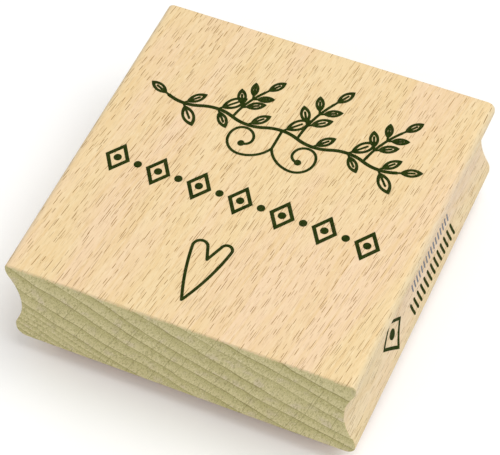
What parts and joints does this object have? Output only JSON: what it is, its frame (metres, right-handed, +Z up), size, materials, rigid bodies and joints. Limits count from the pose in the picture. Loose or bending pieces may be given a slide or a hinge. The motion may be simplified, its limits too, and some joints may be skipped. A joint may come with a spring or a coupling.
{
  "type": "rubber stamp",
  "caption": "Square wooden hand stamp with a finger cove on two sides and a cushioned rubber die under it, for pressing an ornament onto paper.",
  "frame": {"origin": "on the printing plane, under the middle of the block", "axes": "+X along the reading direction of the motif, between the coved sides; +Y towards the motif's head, along the cove; +Z up, from the printing plane to the block's top"},
  "size_m": [0.075, 0.076, 0.0297],
  "materials": {
    "beech": "planed and sanded, unvarnished beech",
    "dark_green_ink": "matt printed ink",
    "grey_blue_ink": "matt printed ink",
    "adhesive": "double-sided film",
    "foam": "closed-cell foam, matt",
    "die_rubber": "vulcanised rubber, matt"
  },
  "bodies": {
    "block": {"wood_block": "beech", "index_print_sprig": "dark_green_ink", "index_print_border": "dark_green_ink", "index_print_heart": "dark_green_ink", "side_mark_print": "dark_green_ink", "side_mark_fine_print": "grey_blue_ink", "upper_adhesive_film": "adhesive", "foam_cushion": "foam"},
    "die": {"rubber_die": "die_rubber", "lower_adhesive_film": "adhesive"}
  },
  "joints": [
    {"name": "die_press", "type": "slide", "parent": "block", "child": "die", "axis": [0, 0, 1], "range_m": [0, 0.001], "stiffness_N_per_m": 20000, "deforming": ["foam_cushion"]}
  ]
}
